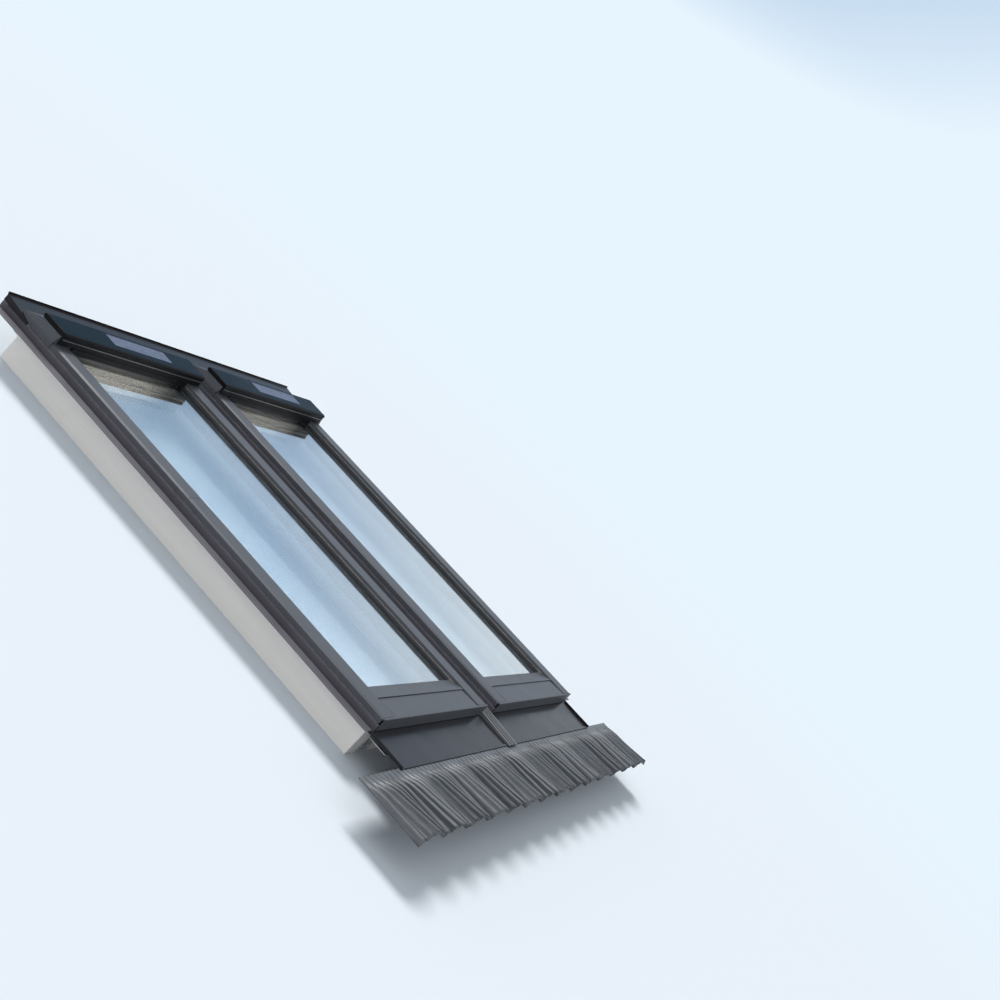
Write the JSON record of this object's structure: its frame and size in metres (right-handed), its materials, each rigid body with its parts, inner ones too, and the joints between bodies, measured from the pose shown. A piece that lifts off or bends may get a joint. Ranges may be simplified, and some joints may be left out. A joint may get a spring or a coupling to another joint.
{
  "type": "twin centre-pivot roof window with flashing and solar hoods",
  "caption": "Centre-pivot roof windows side by side in one combined flashing, with solar top hoods, a pleated apron skirt, vent flaps and barrel bolts.",
  "frame": {"origin": "middle of the bounding box at its base, the plane of the frames' undersides", "axes": "+X across the roof, +Y up the slope, +Z outwards from the roof"},
  "size_m": [2.18, 1.83, 0.1689],
  "materials": {
    "painted_timber": "white painted timber",
    "operator_housing": "fine matt white plastic",
    "cladding": "matt dark grey coated aluminium",
    "hood_black": "satin black",
    "solar_panel": "glossy dark blue face",
    "clear_glass": "clear insulating glass",
    "spacer": "mill aluminium",
    "seal_rubber": "black seal",
    "trim_metal": "thin bare aluminium",
    "flap_metal": "white coated aluminium",
    "fitting_steel": "zinc plated steel",
    "flashing": "matt dark grey coated aluminium",
    "skirt": "pleated soft aluminium sheet, matt mid grey",
    "joint_strip": "matt light grey ribbed aluminium"
  },
  "bodies": {
    "fixed_unit": {"left_frame_sill": "painted_timber", "left_frame_head": "painted_timber", "left_frame_jamb_a": "painted_timber", "left_frame_jamb_b": "painted_timber", "left_chain_operator": "operator_housing", "left_upper_covers": "cladding", "left_top_casing": "cladding", "left_solar_hood": "hood_black", "left_solar_panel": "solar_panel", "right_frame_sill": "painted_timber", "right_frame_head": "painted_timber", "right_frame_jamb_a": "painted_timber", "right_frame_jamb_b": "painted_timber", "right_chain_operator": "operator_housing", "right_upper_covers": "cladding", "right_top_casing": "cladding", "right_solar_hood": "hood_black", "right_solar_panel": "solar_panel", "apron_connector": "joint_strip", "apron_sheet_left": "flashing", "apron_sheet_right": "flashing", "apron_skirt_left": "skirt", "apron_skirt_right": "skirt", "fixing_brackets": "fitting_steel", "frame_seals": "seal_rubber", "hinge_tracks": "fitting_steel", "middle_gutter": "flashing", "side_flashing_left": "flashing", "side_flashing_right": "flashing", "top_flashing": "flashing"},
    "left_sash": {"left_sash_stile_a": "painted_timber", "left_sash_stile_b": "painted_timber", "left_sash_bottom_rail": "painted_timber", "left_sash_top_rail": "painted_timber", "left_outer_pane": "clear_glass", "left_inner_pane": "clear_glass", "left_pane_spacer": "spacer", "left_glazing_gasket": "seal_rubber", "left_glass_trim": "trim_metal", "left_lower_covers": "cladding", "left_sash_bottom_cover": "cladding", "left_bottom_bead": "cladding", "left_hinge_shoes": "fitting_steel"},
    "left_flap": {"left_vent_flap": "flap_metal"},
    "left_bolt": {"left_barrel_bolt": "fitting_steel"},
    "right_sash": {"right_sash_stile_a": "painted_timber", "right_sash_stile_b": "painted_timber", "right_sash_bottom_rail": "painted_timber", "right_sash_top_rail": "painted_timber", "right_outer_pane": "clear_glass", "right_inner_pane": "clear_glass", "right_pane_spacer": "spacer", "right_glazing_gasket": "seal_rubber", "right_glass_trim": "trim_metal", "right_lower_covers": "cladding", "right_sash_bottom_cover": "cladding", "right_bottom_bead": "cladding", "right_hinge_shoes": "fitting_steel"},
    "right_flap": {"right_vent_flap": "flap_metal"},
    "right_bolt": {"right_barrel_bolt": "fitting_steel"}
  },
  "joints": [
    {"name": "left_sash_pivot", "type": "hinge", "parent": "fixed_unit", "child": "left_sash", "pos_m": [-0.44, 0.149, 0.13], "axis": [-1, 0, 0], "range_deg": [0, 150]},
    {"name": "left_flap_hinge", "type": "hinge", "parent": "left_sash", "child": "left_flap", "pos_m": [-0.44, 0.735, 0.0292], "axis": [-1, 0, 0], "range_deg": [0, 45]},
    {"name": "left_bolt_slide", "type": "slide", "parent": "left_sash", "child": "left_bolt", "axis": [1, 0, 0], "range_m": [0, 0.014]},
    {"name": "right_sash_pivot", "type": "hinge", "parent": "fixed_unit", "child": "right_sash", "pos_m": [0.44, 0.149, 0.13], "axis": [-1, 0, 0], "range_deg": [0, 150]},
    {"name": "right_flap_hinge", "type": "hinge", "parent": "right_sash", "child": "right_flap", "pos_m": [0.44, 0.735, 0.0292], "axis": [-1, 0, 0], "range_deg": [0, 45]},
    {"name": "right_bolt_slide", "type": "slide", "parent": "right_sash", "child": "right_bolt", "axis": [1, 0, 0], "range_m": [0, 0.014]}
  ]
}
